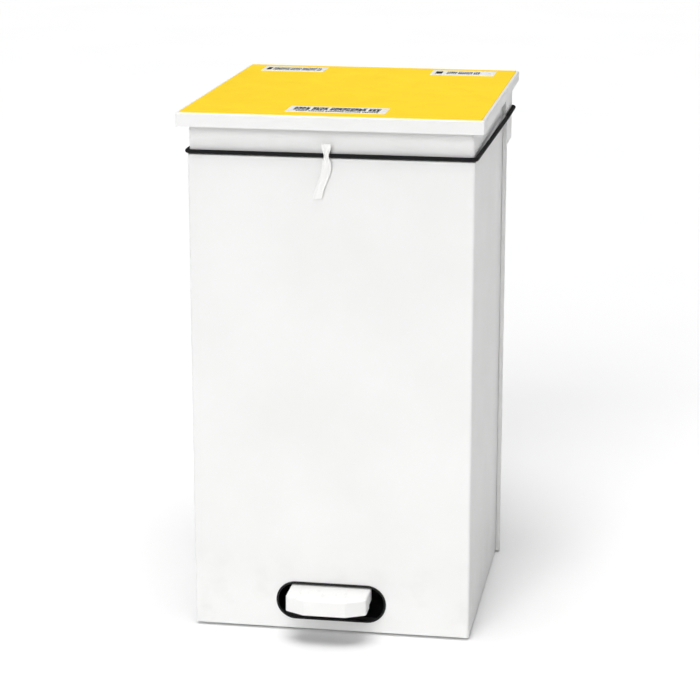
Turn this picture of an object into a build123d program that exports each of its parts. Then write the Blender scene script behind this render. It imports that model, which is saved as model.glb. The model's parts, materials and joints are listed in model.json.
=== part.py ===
from build123d import *
import math
import os

# Hands-free waste-sack bin: a white steel column with a sack collar, a pull-forward body shell,
# a tray lid with a yellow panel, and a pedal that lifts the lid through a rod behind the column.
# Millimetres. +Z is up, -Y is the front, X is to the right when facing the front.
# The origin is on the floor, under the centre of the whole outline.

# ---------- driving dimensions
SHELL_W = 400.0           # outside width of the body shell
SHELL_D = 374.0           # outside depth of the body shell's sides
SHELL_Z = (4.0, 693.5)    # bottom and top edge of the body shell
SHEET = 1.2               # body shell and lid sheet
FRAME_SHEET = 2.0         # back panel and chassis sheet
COLLAR_SHEET = 1.5        # collar and hinge casing sheet

LID_W = 426.0             # lid width
LID_FRONT = -14.0         # lid's front edge, behind the shell's front face
LID_REAR = 483.0          # lid's rear edge
LID_Z = (734.0, 753.0)    # bottom of the lid's lip and top of its tray
LID_LIP_RISE = 5.0        # the lip gets this much lower in height from front to rear
LID_MARGIN = 4.0          # white margin round the yellow panel
PANEL_T = 1.0             # yellow panel thickness
LABEL_T = 0.3             # sticker thickness

PEDAL_TIP = -58.0         # front of the pedal cap
PANEL_D = (376.0, 378.0)  # front and back face of the back panel
POST_W = 412.0            # width over the column's side flanges
CASING_W = 407.0          # width of the hinge casing
CASING_REAR = 476.0       # rear face of the hinge casing
CASING_Z = (651.0, 740.0) # bottom and top of the hinge casing
COLLAR_W = 396.0          # outside width of the sack collar
COLLAR_FRONT = 2.0        # collar's front face
COLLAR_Z = (655.0, 747.0) # bottom and top of the sack collar

HINGE_D, HINGE_Z = 456.0, 708.0   # lid hinge axis
LID_OPEN = 80.0                   # lid opening in degrees
PIVOT_D, PIVOT_Z = 150.0, 57.0    # pedal pivot axis
PEDAL_SWING = 10.5                # pedal travel in degrees
ROD_D = 422.0                     # push rod axis

BAND_R = 3.0              # elastic band section radius
BAND_Z = 698.0            # height of the elastic band
FIT = 0.05                # radial clearance of a running fit
PRESS = 0.03              # radial clearance of a pressed or bonded fit

# ---------- values worked out from them
FRONT = -(LID_REAR + PEDAL_TIP) / 2     # Y of the shell's front face, so that Y = 0 is the middle
LEVER_REACH = ROD_D - PIVOT_D           # pivot to the lever's rear pin
LIFT = 2 * LEVER_REACH * math.tan(math.radians(PEDAL_SWING / 2))   # push rod travel
CRANK_R = LIFT / (2 * math.sin(math.radians(LID_OPEN / 2)))        # crank radius on the lid shaft
CRANK_REST = math.radians(LID_OPEN / 2)                            # crank hangs this far below level
CRANK_PIN_D = HINGE_D - CRANK_R * math.cos(CRANK_REST)
CRANK_PIN_Z = HINGE_Z - CRANK_R * math.sin(CRANK_REST)
LEVER_PIN_Z = PIVOT_Z - LIFT / 2
PIN_R, PIN_END = 4.0, 10.0              # cross pins of lever and crank

SIDES = {"left": -1, "right": 1}
nodes = {}


# ---------- helpers: d is the distance behind the shell's front face
def block(x, d, z):
    """A box between the pairs x, d and z."""
    size = [abs(b - a) for a, b in (x, d, z)]
    middle = [(a + b) / 2 for a, b in (x, d, z)]
    return Pos(middle[0], FRONT + middle[1], middle[2]) * Box(*size)


def mirrored(side, low, high):
    """An x pair on the left or right side."""
    return (low, high) if side > 0 else (-high, -low)


def soft_block(x, d, z, radius):
    """A box whose upright edges are rounded."""
    flat = RectangleRounded(x[1] - x[0], d[1] - d[0], radius)
    at = Pos((x[0] + x[1]) / 2, FRONT + (d[0] + d[1]) / 2, z[0])
    return at * extrude(flat, z[1] - z[0])


def bar_x(radius, x, d, z):
    """A round bar along X."""
    return Pos((x[0] + x[1]) / 2, FRONT + d, z) * Rot(0, 90, 0) * Cylinder(radius, x[1] - x[0])


def bar_y(radius, x, d, z):
    """A round bar along Y."""
    return Pos(x, FRONT + (d[0] + d[1]) / 2, z) * Rot(90, 0, 0) * Cylinder(radius, d[1] - d[0])


def bar_z(radius, x, d, z):
    """A round bar along Z."""
    return Pos(x, FRONT + d, (z[0] + z[1]) / 2) * Cylinder(radius, z[1] - z[0])


def slot_y(width, height, z, d):
    """A round-ended slot that runs through Y, centred on x = 0."""
    flat = Plane.XZ * SlotOverall(width, height)
    return Pos(0, FRONT + d[1], z) * extrude(flat, d[1] - d[0])


def slot_x(length, height, x, d, z):
    """A round-ended slot, long along Y, that runs through X."""
    flat = Plane.YZ * SlotOverall(length, height)
    return Pos(x[0], FRONT + d, z) * extrude(flat, x[1] - x[0])


def plate_x(points, x):
    """A plate with an outline of (d, z) points, between the two x values."""
    outline = Plane.YZ * make_face(Polyline(*[(FRONT + d, z) for d, z in points], close=True))
    return Pos(x[0], 0, 0) * extrude(outline, x[1] - x[0])


def screw_y(x, z, face, grip, head_r=4.5, shank_r=2.0):
    """A pan-head screw whose head stands behind the face at d = face, with its shank to the front."""
    head = bar_y(head_r, x, (face, face + 2.2), z)
    head = fillet(head.edges().group_by(Axis.Y)[-1], 1.4)
    shank = bar_y(shank_r, x, (face - grip, face), z)
    return head + shank


def clip_pair(shaft_r, clip_r, x, d, z):
    """Two ring clips on a bar along X, one on each side at the distance x."""
    clips = [bar_x(clip_r, mirrored(side, x, x + 1.5), d, z) for side in SIDES.values()]
    bore = bar_x(shaft_r + PRESS, (-x - 5, x + 5), d, z)
    return Compound([clip - bore for clip in clips])


SCREW_HOLE_R = 2.15


def screw_holes_y(part, places, d):
    for x, z in places:
        part -= bar_y(SCREW_HOLE_R, x, d, z)
    return part


# ---------- body shell: front and two sides, pulls forward off the column
SLOT_Z = 46.5             # middle height of the pedal slot
SLOT_OUT = (160.0, 57.0)  # outside of the edging
EDGING_WALL = 3.0         # width of the edging's ring
EDGING_PROUD = 1.5        # how far the edging stands off the sheet, on both faces
SLOT_IN = tuple(size - 2 * EDGING_WALL for size in SLOT_OUT)    # clear opening inside the edging
SLOT_HOLE = tuple(size + 2.0 for size in SLOT_IN)               # hole in the sheet
HEM = 10.0                # width of the shell's bottom return
SPARE = 20.0              # overrun of a folded box past its open side, cut off again
BEND = 4.0                # outside radius of the shell's corners


def body_shell():
    half = SHELL_W / 2
    outer = soft_block((-half, half), (0, SHELL_D + SPARE), SHELL_Z, BEND)
    inner_z = (SHELL_Z[0] + SHEET, SHELL_Z[1] + 1)
    inner = soft_block((-half + SHEET, half - SHEET), (SHEET, SHELL_D + 2 * SPARE), inner_z, BEND - SHEET)
    floor_cut = block((-half + HEM, half - HEM), (HEM, SHELL_D + SPARE), (0, SHELL_Z[0] + 2 * SHEET))
    rear_cut = block((-half - 1, half + 1), (SHELL_D, SHELL_D + 2 * SPARE), (0, SHELL_Z[1] + 1))
    shell = outer - inner - floor_cut - rear_cut
    return shell - slot_y(*SLOT_HOLE, SLOT_Z, (-1, SHEET + 1))


def slot_edging():
    """A moulded ring with a groove for the sheet in its outer side."""
    depth = (-EDGING_PROUD, SHEET + EDGING_PROUD)
    ring = slot_y(*SLOT_OUT, SLOT_Z, depth) - slot_y(*SLOT_IN, SLOT_Z, (-5, 5))
    ring = fillet(ring.edges().group_by(Axis.Y)[0], 0.9)
    sheet = slot_y(SLOT_OUT[0] + 4, SLOT_OUT[1] + 4, SLOT_Z, (0, SHEET))
    return ring - (sheet - slot_y(*SLOT_HOLE, SLOT_Z, (-1, SHEET + 1)))


nodes["body_shell"] = body_shell()
nodes["slot_edging"] = slot_edging()


# ---------- chassis, feet and shelf
CHASSIS_X = 190.0
CHASSIS_Z = 8.0
CHASSIS_FRONT = 10.0
AXLE_R = 6.0
AXLE_BRACKET_X = (63.0, 66.0)
COLUMN_SCREWS = [(x, 35.0) for x in (-160.0, -90.0, 90.0, 160.0)]
FOOT_X, FOOT_D = 168.0, (36.0, 348.0)
FOOT_STEM_R = 4.0
FOOT_PAD_R = 15.0
LEVER_GAP = 15.0          # half width of the lever's opening in chassis and back panel
LEVER_GAP_Z = (20.0, 100.0)
SIDE_LIP, FRONT_LIP, REAR_LIP = 30.0, 22.0, 50.0   # tops of the chassis tray's upturned edges
STOP_X, STOP_D, STOP_TOP = (31.0, 41.0), (30.0, 50.0), 28.2
GUIDE_D, GUIDE_Z, GUIDE_X = (200.0, 240.0), (12.0, 28.0), 198.4
MAGNET_X, MAGNET_Z = (120.0, 150.0), (11.0, 21.0)


def chassis():
    floor_top = CHASSIS_Z + FRAME_SHEET
    edge = CHASSIS_X - FRAME_SHEET
    depth = (CHASSIS_FRONT, PANEL_D[0])
    tray = block((-CHASSIS_X, CHASSIS_X), depth, (CHASSIS_Z, floor_top))
    for side in SIDES.values():
        tray += block(mirrored(side, edge, CHASSIS_X), depth, (CHASSIS_Z, SIDE_LIP))
    width = (-CHASSIS_X, CHASSIS_X)
    tray += block(width, (CHASSIS_FRONT, CHASSIS_FRONT + FRAME_SHEET), (CHASSIS_Z, FRONT_LIP))
    tray += block(width, (PANEL_D[0] - FRAME_SHEET, PANEL_D[0]), (CHASSIS_Z, REAR_LIP))
    tray -= block((-LEVER_GAP, LEVER_GAP), (PANEL_D[0] - 5, PANEL_D[0] + 1), (LEVER_GAP_Z[0], REAR_LIP + 1))
    for side in SIDES.values():
        for d in FOOT_D:
            tray -= bar_z(FOOT_STEM_R + FIT, side * FOOT_X, d, (CHASSIS_Z - 1, floor_top + 1))
    return screw_holes_y(tray, COLUMN_SCREWS, (PANEL_D[0] - 5, PANEL_D[0] + 1))


def foot(side, d):
    """A rubber pad whose stem snaps through the chassis and holds with a barb."""
    pad = bar_z(FOOT_PAD_R, side * FOOT_X, d, (0, CHASSIS_Z))
    pad = fillet(pad.edges().group_by(Axis.Z)[0], 1.5)
    stem = bar_z(FOOT_STEM_R, side * FOOT_X, d, (CHASSIS_Z, CHASSIS_Z + 4))
    barb = bar_z(FOOT_STEM_R + 2, side * FOOT_X, d, (CHASSIS_Z + FRAME_SHEET, CHASSIS_Z + 5))
    return pad + stem + barb


def axle_bracket(side):
    """An angle bracket: an upright plate that tapers to the axle, on a flat foot."""
    floor_top = CHASSIS_Z + FRAME_SHEET
    low, high = AXLE_BRACKET_X
    base, tip, foot_width = 24.0, 13.0, 18.0
    outline = [
        (PIVOT_D - base, floor_top),
        (PIVOT_D + base, floor_top),
        (PIVOT_D + tip, PIVOT_Z + 14),
        (PIVOT_D - tip, PIVOT_Z + 14),
    ]
    upright = plate_x(outline, mirrored(side, low, high))
    foot_x = mirrored(side, high, high + foot_width)
    foot_plate = block(foot_x, (PIVOT_D - base, PIVOT_D + base), (floor_top, floor_top + high - low))
    bracket = upright + foot_plate
    return bracket - bar_x(AXLE_R + PRESS, mirrored(side, low - 1, high + 1), PIVOT_D, PIVOT_Z)


SHELF_Z = 98.0
SHELF_HALF, SHELF_D = 186.0, (14.0, 368.0)


def sack_shelf():
    """The shelf that the sack stands on, with two legs folded down to the chassis."""
    half, depth = SHELF_HALF, SHELF_D
    shelf = block((-half, half), depth, (SHELF_Z, SHELF_Z + COLLAR_SHEET))
    for side in SIDES.values():
        leg = mirrored(side, half - COLLAR_SHEET, half)
        shelf += block(leg, depth, (CHASSIS_Z + FRAME_SHEET, SHELF_Z))
    for d in FOOT_D:
        for side in SIDES.values():
            shelf -= bar_z(8, side * FOOT_X, d, (CHASSIS_Z, CHASSIS_Z + 6))
    return shelf


nodes["chassis"] = chassis()
for name, side in SIDES.items():
    nodes["foot_front_" + name] = foot(side, FOOT_D[0])
    nodes["foot_rear_" + name] = foot(side, FOOT_D[1])
    nodes["axle_bracket_" + name] = axle_bracket(side)
    pad = block(mirrored(side, *STOP_X), STOP_D, (CHASSIS_Z + FRAME_SHEET, STOP_TOP))
    nodes["pedal_stop_" + name] = fillet(pad.edges().group_by(Axis.Z)[-1], 2)
    guide = block(mirrored(side, CHASSIS_X, GUIDE_X), GUIDE_D, GUIDE_Z)
    nodes["shell_guide_" + name] = fillet(guide.edges().filter_by(Axis.Z), 2)
nodes["sack_shelf"] = sack_shelf()
AXLE_END, AXLE_CLIP_X = 73.0, 68.0
nodes["pedal_axle"] = bar_x(AXLE_R, (-AXLE_END, AXLE_END), PIVOT_D, PIVOT_Z)
nodes["axle_clips"] = clip_pair(AXLE_R, AXLE_R + 4, AXLE_CLIP_X, PIVOT_D, PIVOT_Z)
magnet_d = (SHEET + 0.2, CHASSIS_FRONT)
magnets = [block(mirrored(side, *MAGNET_X), magnet_d, MAGNET_Z) for side in SIDES.values()]
nodes["shell_magnets"] = Compound(magnets)


# ---------- column: back panel with side flanges, rod cover, hinge casing and collar
POST_TOP = 690.0
POST_FLANGE_D = 369.0     # front edge of the column's side flanges
POST_LIP_X = 200.4        # inner edge of the flanges' front return, just off the shell's side
PANEL_BOTTOM = 3.0
COVER_X, COVER_REAR, COVER_FLANGE = 32.0, 438.0, 46.0
COVER_SCREWS = [(x, z) for x in (-39.0, 39.0) for z in (60.0, 330.0, 600.0)]
COLLAR_RIVETS = [(x, 725.0) for x in (-165.0, -55.0, 55.0, 165.0)]
ARM_X = 150.0             # hinge arms, either side of the middle
ARM_T = 3.0
ARM_NOTCH_Z = 701.5       # bottom of the notches that the open hinge arms lie in
FOLD = 5.0                # outside radius of the casing's and collar's corners
CRANK_GAP = 13.0          # half width of the cover's slot over crank and rod head


def back_panel():
    half = POST_W / 2
    upper = CASING_W / 2
    z = (PANEL_BOTTOM, POST_TOP)
    through = (PANEL_D[0] - 1, PANEL_D[1] + 1)
    panel = block((-half, half), PANEL_D, z)
    panel += block((-upper, upper), PANEL_D, (POST_TOP, CASING_Z[1]))
    for side in SIDES.values():
        panel += block(mirrored(side, half - FRAME_SHEET, half), (POST_FLANGE_D, PANEL_D[1]), z)
        panel += block(mirrored(side, POST_LIP_X, half), (POST_FLANGE_D, POST_FLANGE_D + FRAME_SHEET), z)
    panel -= block((-LEVER_GAP, LEVER_GAP), through, LEVER_GAP_Z)
    return screw_holes_y(panel, COLUMN_SCREWS + COVER_SCREWS + COLLAR_RIVETS, through)


def rod_cover():
    z = (14.0, CASING_Z[0])
    d = (PANEL_D[1], COVER_REAR)
    cover = soft_block((-COVER_X, COVER_X), (d[0] - SPARE, d[1]), z, BEND)
    inside_x, inside_d = COVER_X - SHEET, (d[0] - 2 * SPARE, d[1] - SHEET)
    cover -= soft_block((-inside_x, inside_x), inside_d, (z[0] - 1, z[1] + 1), BEND - SHEET)
    cover -= block((-COVER_X - 1, COVER_X + 1), (d[0] - 3 * SPARE, d[0]), (z[0] - 1, z[1] + 1))
    for side in SIDES.values():
        cover += block(mirrored(side, COVER_X - SHEET, COVER_FLANGE), (d[0], d[0] + SHEET), z)
    return screw_holes_y(cover, COVER_SCREWS, (d[0] - 1, d[0] + SHEET + 1))


def hinge_casing():
    """A box behind the collar, open at the front and top, with notches for the hinge arms."""
    half = CASING_W / 2
    t = COLLAR_SHEET
    start = PANEL_D[1]
    casing = soft_block((-half, half), (start - SPARE, CASING_REAR), CASING_Z, FOLD)
    inner_z = (CASING_Z[0] + t, CASING_Z[1] + 1)
    casing -= soft_block((-half + t, half - t), (start - 2 * SPARE, CASING_REAR - t), inner_z, FOLD - t)
    casing -= block((-half - 1, half + 1), (start - 3 * SPARE, start), (CASING_Z[0] - 1, CASING_Z[1] + 1))
    rod_gap = COVER_X - 4
    casing -= block((-rod_gap, rod_gap), (start + 4, COVER_REAR - SHEET), (CASING_Z[0] - 1, CASING_Z[0] + 3))
    for side in SIDES.values():
        notch = mirrored(side, ARM_X - 4, ARM_X + 4)
        casing -= block(notch, (CASING_REAR - 5, CASING_REAR + 1), (ARM_NOTCH_Z, CASING_Z[1] + 1))
    return casing


def casing_cover():
    t = SHEET
    half = CASING_W / 2 - COLLAR_SHEET - 0.5
    z = (CASING_Z[1] - 2 * t, CASING_Z[1] - t)
    cover = soft_block((-half, half), (PANEL_D[1], CASING_REAR - COLLAR_SHEET), z, FOLD - 1)
    for side in SIDES.values():
        slot = mirrored(side, ARM_X - 6, ARM_X + 6)
        cover -= block(slot, (HINGE_D - 14, CASING_REAR), (z[0] - 1, z[1] + 1))
    crank_slot = (ROD_D - 20, HINGE_D + 4)
    return cover - block((-CRANK_GAP, CRANK_GAP), crank_slot, (z[0] - 1, z[1] + 1))


def sack_collar():
    half = COLLAR_W / 2
    t = COLLAR_SHEET
    lip = 12.0
    d = (COLLAR_FRONT, PANEL_D[0])
    ring = soft_block((-half, half), d, COLLAR_Z, FOLD)
    inside_z = (COLLAR_Z[0] - 1, COLLAR_Z[1] - t)
    ring -= soft_block((-half + t, half - t), (d[0] + t, d[1] - t), inside_z, FOLD - t)
    mouth_z = (COLLAR_Z[1] - 5, COLLAR_Z[1] + 1)
    ring -= soft_block((-half + lip, half - lip), (d[0] + lip, d[1] - lip), mouth_z, 3)
    return screw_holes_y(ring, COLLAR_RIVETS, (d[1] - 5, d[1] + 1))


BAND_STAND_OFF = 1.2      # the band is held this far off the collar's front by its pull strap
BAND_CORNER, BAND_BEND = 8.0, 400.0   # radii of its centre line


def elastic_band():
    """The band and the length of its centre line."""
    gap = BAND_R + FIT
    front_x, rear_x = COLLAR_W / 2 + gap, CASING_W / 2 + gap
    front_y = FRONT + COLLAR_FRONT - gap - BAND_STAND_OFF
    bend_y = FRONT + PANEL_D[1] - 4
    rear_y = FRONT + CASING_REAR + gap
    half_route = [(0, front_y), (front_x, front_y), (rear_x, bend_y), (rear_x, rear_y), (0, rear_y)]
    radii = [BAND_CORNER, BAND_BEND, BAND_CORNER]
    route = FilletPolyline(*[(x, y, BAND_Z) for x, y in half_route], radius=radii)
    section = Plane(origin=(0, front_y, BAND_Z), z_dir=(1, 0, 0)) * Circle(BAND_R)
    half = sweep(section, path=route)
    return half + mirror(half, about=Plane.YZ), route.length * 2


nodes["back_panel"] = back_panel()
nodes["rod_cover"] = rod_cover()
nodes["hinge_casing"] = hinge_casing()
nodes["casing_cover"] = casing_cover()
nodes["sack_collar"] = sack_collar()
band, band_length = elastic_band()
nodes["elastic_band"] = band


def pull_tab():
    """A strap folded round the band, pinched where it crosses it, with a tail that hangs to the left."""
    x, t = -4.0, 0.8
    inner_r = BAND_R + 0.25
    band_d = COLLAR_FRONT - BAND_R - FIT - BAND_STAND_OFF
    loop = bar_x(inner_r + t, (x - 3.8, x + 3.8), band_d, BAND_Z)
    loop -= bar_x(inner_r, (x - 5, x + 5), band_d, BAND_Z)
    outline = [
        (x - 6.5, BAND_Z + 18), (x + 6.5, BAND_Z + 18), (x + 6.5, BAND_Z + 6), (x + 3.8, BAND_Z + 2),
        (x + 3.8, BAND_Z - 3), (x + 5.5, BAND_Z - 8), (x + 4, BAND_Z - 27), (x - 8, BAND_Z - 62),
        (x - 18, BAND_Z - 58), (x - 7, BAND_Z - 24), (x - 5.5, BAND_Z - 8), (x - 3.8, BAND_Z - 3),
        (x - 3.8, BAND_Z + 2), (x - 6.5, BAND_Z + 6),
    ]
    flat = Plane.XZ * make_face(Polyline(*outline, close=True))
    front_face = band_d - inner_r - t
    strap = Pos(0, FRONT + front_face + t, 0) * extrude(flat, t)
    return loop + strap


nodes["pull_tab"] = pull_tab()


# ---------- lid: folded tray, yellow panel, stickers, buffers, shaft and crank
TRAY_TOP = LID_Z[1]
UNDERSIDE = TRAY_TOP - SHEET
PANEL_TOP = TRAY_TOP + PANEL_T
LIP_BEND = 3.0
SHAFT_R = 5.0
BEARING_X, BEARING_R = (174.0, 182.0), 8.0
SHAFT_END, SHAFT_CLIP_X = 186.0, 183.0
ARM_SCREWS = [(side * (ARM_X + 10), d) for side in SIDES.values() for d in (HINGE_D - 6, HINGE_D + 12)]
BUFFER_X, BUFFER_D = 176.0, (9.0, 369.0)   # rubber buffers over the collar's front and rear lip
LABELS = {
    "label_front": ((-66.0, 73.0), (16.0, 66.0)),
    "label_rear_left": ((-182.0, -84.0), (410.0, 460.0)),
    "label_rear_right": ((82.0, 180.0), (410.0, 460.0)),
}


def lid_tray():
    """A tray folded from sheet, with a lip all round that gets shallower towards the hinge."""
    half = LID_W / 2
    d = (LID_FRONT, LID_REAR)
    tray = soft_block((-half, half), d, LID_Z, LIP_BEND)
    tray = fillet(tray.edges().group_by(Axis.Z)[-1], 1.6)
    inner_d = (d[0] + SHEET, d[1] - SHEET)
    inner_x = (-half + SHEET, half - SHEET)
    tray -= soft_block(inner_x, inner_d, (LID_Z[0] - 1, UNDERSIDE), LIP_BEND - SHEET)
    taper = [(d[0] + LIP_BEND, LID_Z[0]), (d[1] + 1, LID_Z[0] + LID_LIP_RISE), (d[1] + 1, LID_Z[0] - 1)]
    tray -= plate_x(taper + [(d[0] + LIP_BEND, LID_Z[0] - 1)], (-half - 1, half + 1))
    for x, screw_d in ARM_SCREWS:
        tray -= bar_z(SCREW_HOLE_R, x, screw_d, (UNDERSIDE - 1, TRAY_TOP + 1))
    return tray


def lid_panel():
    half = LID_W / 2 - LID_MARGIN
    panel = soft_block(
        (-half, half), (LID_FRONT + LID_MARGIN, LID_REAR - LID_MARGIN), (TRAY_TOP, PANEL_TOP), 2.5
    )
    return fillet(panel.edges().group_by(Axis.Z)[-1], 0.3)


def hinge_arm(side):
    """A plate from the lid's underside down to the shaft, with a foot for two screws."""
    top = UNDERSIDE
    web_x = mirrored(side, ARM_X - ARM_T / 2, ARM_X + ARM_T / 2)
    outline = [(HINGE_D - 6, HINGE_Z), (HINGE_D + 6, HINGE_Z), (HINGE_D + 14, top), (HINGE_D - 10, top)]
    arm = plate_x(outline, web_x) + bar_x(9, web_x, HINGE_D, HINGE_Z)
    foot_x = mirrored(side, ARM_X - ARM_T / 2, ARM_X + 18)
    arm += block(foot_x, (HINGE_D - 12, HINGE_D + 18), (top - ARM_T, top))
    for x, d in ARM_SCREWS:
        arm -= bar_z(SCREW_HOLE_R, x, d, (top - ARM_T - 1, top + 1))
    return arm - bar_x(SHAFT_R + PRESS, mirrored(side, ARM_X - 5, ARM_X + 5), HINGE_D, HINGE_Z)


def arm_screws():
    """Screws that hold each arm's foot to the tray from below; the yellow panel hides their tips."""
    foot_bottom = UNDERSIDE - ARM_T
    group = []
    for x, d in ARM_SCREWS:
        head = bar_z(3.8, x, d, (foot_bottom - 1.8, foot_bottom))
        group.append(head + bar_z(2.0, x, d, (foot_bottom, TRAY_TOP)))
    return Compound(group)


def crank():
    """The arm on the shaft that the push rod's head lifts."""
    half_t, half_width = 3.0, 6.0
    hub = bar_x(SHAFT_R + 5, (-6, 6), HINGE_D, HINGE_Z)
    tip = bar_x(PIN_R + 3.5, (-half_t, half_t), CRANK_PIN_D, CRANK_PIN_Z)
    side_d = half_width * math.sin(CRANK_REST)
    side_z = half_width * math.cos(CRANK_REST)
    outline = [
        (HINGE_D - side_d, HINGE_Z + side_z),
        (HINGE_D + side_d, HINGE_Z - side_z),
        (CRANK_PIN_D + side_d, CRANK_PIN_Z - side_z),
        (CRANK_PIN_D - side_d, CRANK_PIN_Z + side_z),
    ]
    arm = plate_x(outline, (-half_t, half_t)) + tip + hub
    arm -= bar_x(SHAFT_R + PRESS, (-7, 7), HINGE_D, HINGE_Z)
    return arm - bar_x(PIN_R + PRESS, (-7, 7), CRANK_PIN_D, CRANK_PIN_Z)


def bearing(side):
    """A flanged nylon bush in the bracket."""
    body = bar_x(BEARING_R, mirrored(side, *BEARING_X), HINGE_D, HINGE_Z)
    body += bar_x(BEARING_R + 3, mirrored(side, BEARING_X[0], BEARING_X[0] + 2), HINGE_D, HINGE_Z)
    bore_x = mirrored(side, BEARING_X[0] - 4, BEARING_X[1] + 4)
    return body - bar_x(SHAFT_R + FIT, bore_x, HINGE_D, HINGE_Z)


def bearing_bracket(side):
    low, high = BEARING_X[0] + 2, BEARING_X[0] + 5
    base_z = CASING_Z[0] + COLLAR_SHEET
    outline = [
        (HINGE_D - 22, base_z), (CASING_REAR - COLLAR_SHEET, base_z),
        (CASING_REAR - COLLAR_SHEET, HINGE_Z + 6), (HINGE_D + 12, HINGE_Z + 14), (HINGE_D - 12, HINGE_Z + 14),
    ]
    bracket = plate_x(outline, mirrored(side, low, high))
    return bracket - bar_x(BEARING_R + PRESS, mirrored(side, low - 1, high + 1), HINGE_D, HINGE_Z)


nodes["lid_tray"] = lid_tray()
nodes["lid_panel"] = lid_panel()
for name, (x, d) in LABELS.items():
    nodes[name] = block(x, d, (PANEL_TOP, PANEL_TOP + LABEL_T))
for name, side in SIDES.items():
    nodes["hinge_arm_" + name] = hinge_arm(side)
    nodes["hinge_bearing_" + name] = bearing(side)
    nodes["bearing_bracket_" + name] = bearing_bracket(side)
nodes["hinge_arm_screws"] = arm_screws()
buffer_z = (COLLAR_Z[1], UNDERSIDE)
buffers = [bar_z(5, side * BUFFER_X, d, buffer_z) for side in SIDES.values() for d in BUFFER_D]
nodes["lid_buffers"] = Compound(buffers)
nodes["hinge_shaft"] = bar_x(SHAFT_R, (-SHAFT_END, SHAFT_END), HINGE_D, HINGE_Z)
nodes["shaft_clips"] = clip_pair(SHAFT_R, SHAFT_R + 3, SHAFT_CLIP_X, HINGE_D, HINGE_Z)
nodes["lid_crank"] = crank()
nodes["crank_pin"] = bar_x(PIN_R, (-PIN_END, PIN_END), CRANK_PIN_D, CRANK_PIN_Z)


# ---------- pedal: lever with its pivot tube, bushes, cap and rear pin
CAP_X = 58.0              # half width of the cap
CAP_Z = (47.0, 70.0)
CAP_REAR = 6.0
CAP_HEEL = (-16.0, 51.5)  # behind this depth the skirt is cut up to this height, to clear the slot
CAP_CORNER_D = -44.0      # where the cap's sides turn in
CAP_FRONT_X = 30.0        # half width of its front edge
CAP_WALL = 4.0
LEVER_X = 36.0
TREAD_Z = (58.0, 61.0)
CAP_SCREW_X, CAP_SCREW_D = 18.0, -24.0
PLATE_T = 4.0             # lever side plates
TUBE_R, TUBE_END = 10.0, 60.0
BUSH_R = 8.0
TONGUE_T = 5.0            # lever's rear tongue


def pedal_lever():
    """A pivot tube with two plates to the tread at the front and a tongue to the rear pin."""
    lever = bar_x(TUBE_R, (-TUBE_END, TUBE_END), PIVOT_D, PIVOT_Z)
    arm_top = CAP_Z[1] - CAP_WALL
    for side in SIDES.values():
        x = mirrored(side, LEVER_X - PLATE_T / 2, LEVER_X + PLATE_T / 2)
        lever += plate_x([(-46, 52), (-46, arm_top), (PIVOT_D, arm_top), (PIVOT_D, 49)], x)
    lever += block((-50, 50), (-38, -10), TREAD_Z)
    slope = math.atan2(PIVOT_Z - LEVER_PIN_Z, LEVER_REACH)
    up = (math.sin(slope), math.cos(slope))
    rear_outline = [
        (PIVOT_D - 11 * up[0], PIVOT_Z - 9 * up[1]),
        (ROD_D - 7 * up[0], LEVER_PIN_Z - 7 * up[1]),
        (ROD_D + 7 * up[0], LEVER_PIN_Z + 7 * up[1]),
        (PIVOT_D, PIVOT_Z + 9.5),
    ]
    tongue_x = (-TONGUE_T / 2, TONGUE_T / 2)
    lever += plate_x(rear_outline, tongue_x)
    lever += bar_x(PIN_R + 5, tongue_x, ROD_D, LEVER_PIN_Z)
    lever -= bar_x(BUSH_R + PRESS, (-TUBE_END - 1, TUBE_END + 1), PIVOT_D, PIVOT_Z)
    lever -= bar_x(PIN_R + PRESS, (-TONGUE_T, TONGUE_T), ROD_D, LEVER_PIN_Z)
    for side in SIDES.values():
        lever -= bar_z(SCREW_HOLE_R, side * CAP_SCREW_X, CAP_SCREW_D, (TREAD_Z[0] - 1, TREAD_Z[1] + 1))
    return lever


def pedal_cap():
    """A hollow moulded cap with turned-in front corners, closed on top and open at the rear."""
    plan = [
        (-CAP_X, CAP_REAR), (-CAP_X, CAP_CORNER_D), (-CAP_FRONT_X, PEDAL_TIP),
        (CAP_FRONT_X, PEDAL_TIP), (CAP_X, CAP_CORNER_D), (CAP_X, CAP_REAR),
    ]
    flat = make_face(Polyline(*[(x, FRONT + d) for x, d in plan], close=True))
    cap = Pos(0, 0, CAP_Z[0]) * extrude(flat, CAP_Z[1] - CAP_Z[0])
    upright = cap.edges().filter_by(Axis.Z).sort_by(Axis.Y)[:4]
    cap = fillet(upright, 5)
    cap = fillet(cap.edges().group_by(Axis.Z)[-1], 2.5)
    top = CAP_Z[1] - CAP_WALL
    inside = offset(flat, -CAP_WALL)
    cap -= Pos(0, 0, CAP_Z[0] - 1) * extrude(inside, top - CAP_Z[0] + 1)
    cap -= block((-CAP_X + CAP_WALL, CAP_X - CAP_WALL), (-10, CAP_REAR + 1), (CAP_Z[0] - 1, top))
    cap -= block((-CAP_X - 1, CAP_X + 1), (CAP_HEEL[0], CAP_REAR + 1), (CAP_Z[0] - 1, CAP_HEEL[1]))
    for side in SIDES.values():
        boss = bar_z(5, side * CAP_SCREW_X, CAP_SCREW_D, (TREAD_Z[1], top))
        cap += boss
        cap -= bar_z(2.0 + PRESS, side * CAP_SCREW_X, CAP_SCREW_D, (TREAD_Z[1] - 1, top + 1))
    return cap


def cap_screws():
    group = []
    for side in SIDES.values():
        x = side * CAP_SCREW_X
        head = bar_z(4, x, CAP_SCREW_D, (TREAD_Z[0] - 2, TREAD_Z[0]))
        group.append(head + bar_z(2.0, x, CAP_SCREW_D, (TREAD_Z[0], CAP_Z[1] - CAP_WALL)))
    return Compound(group)


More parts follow.
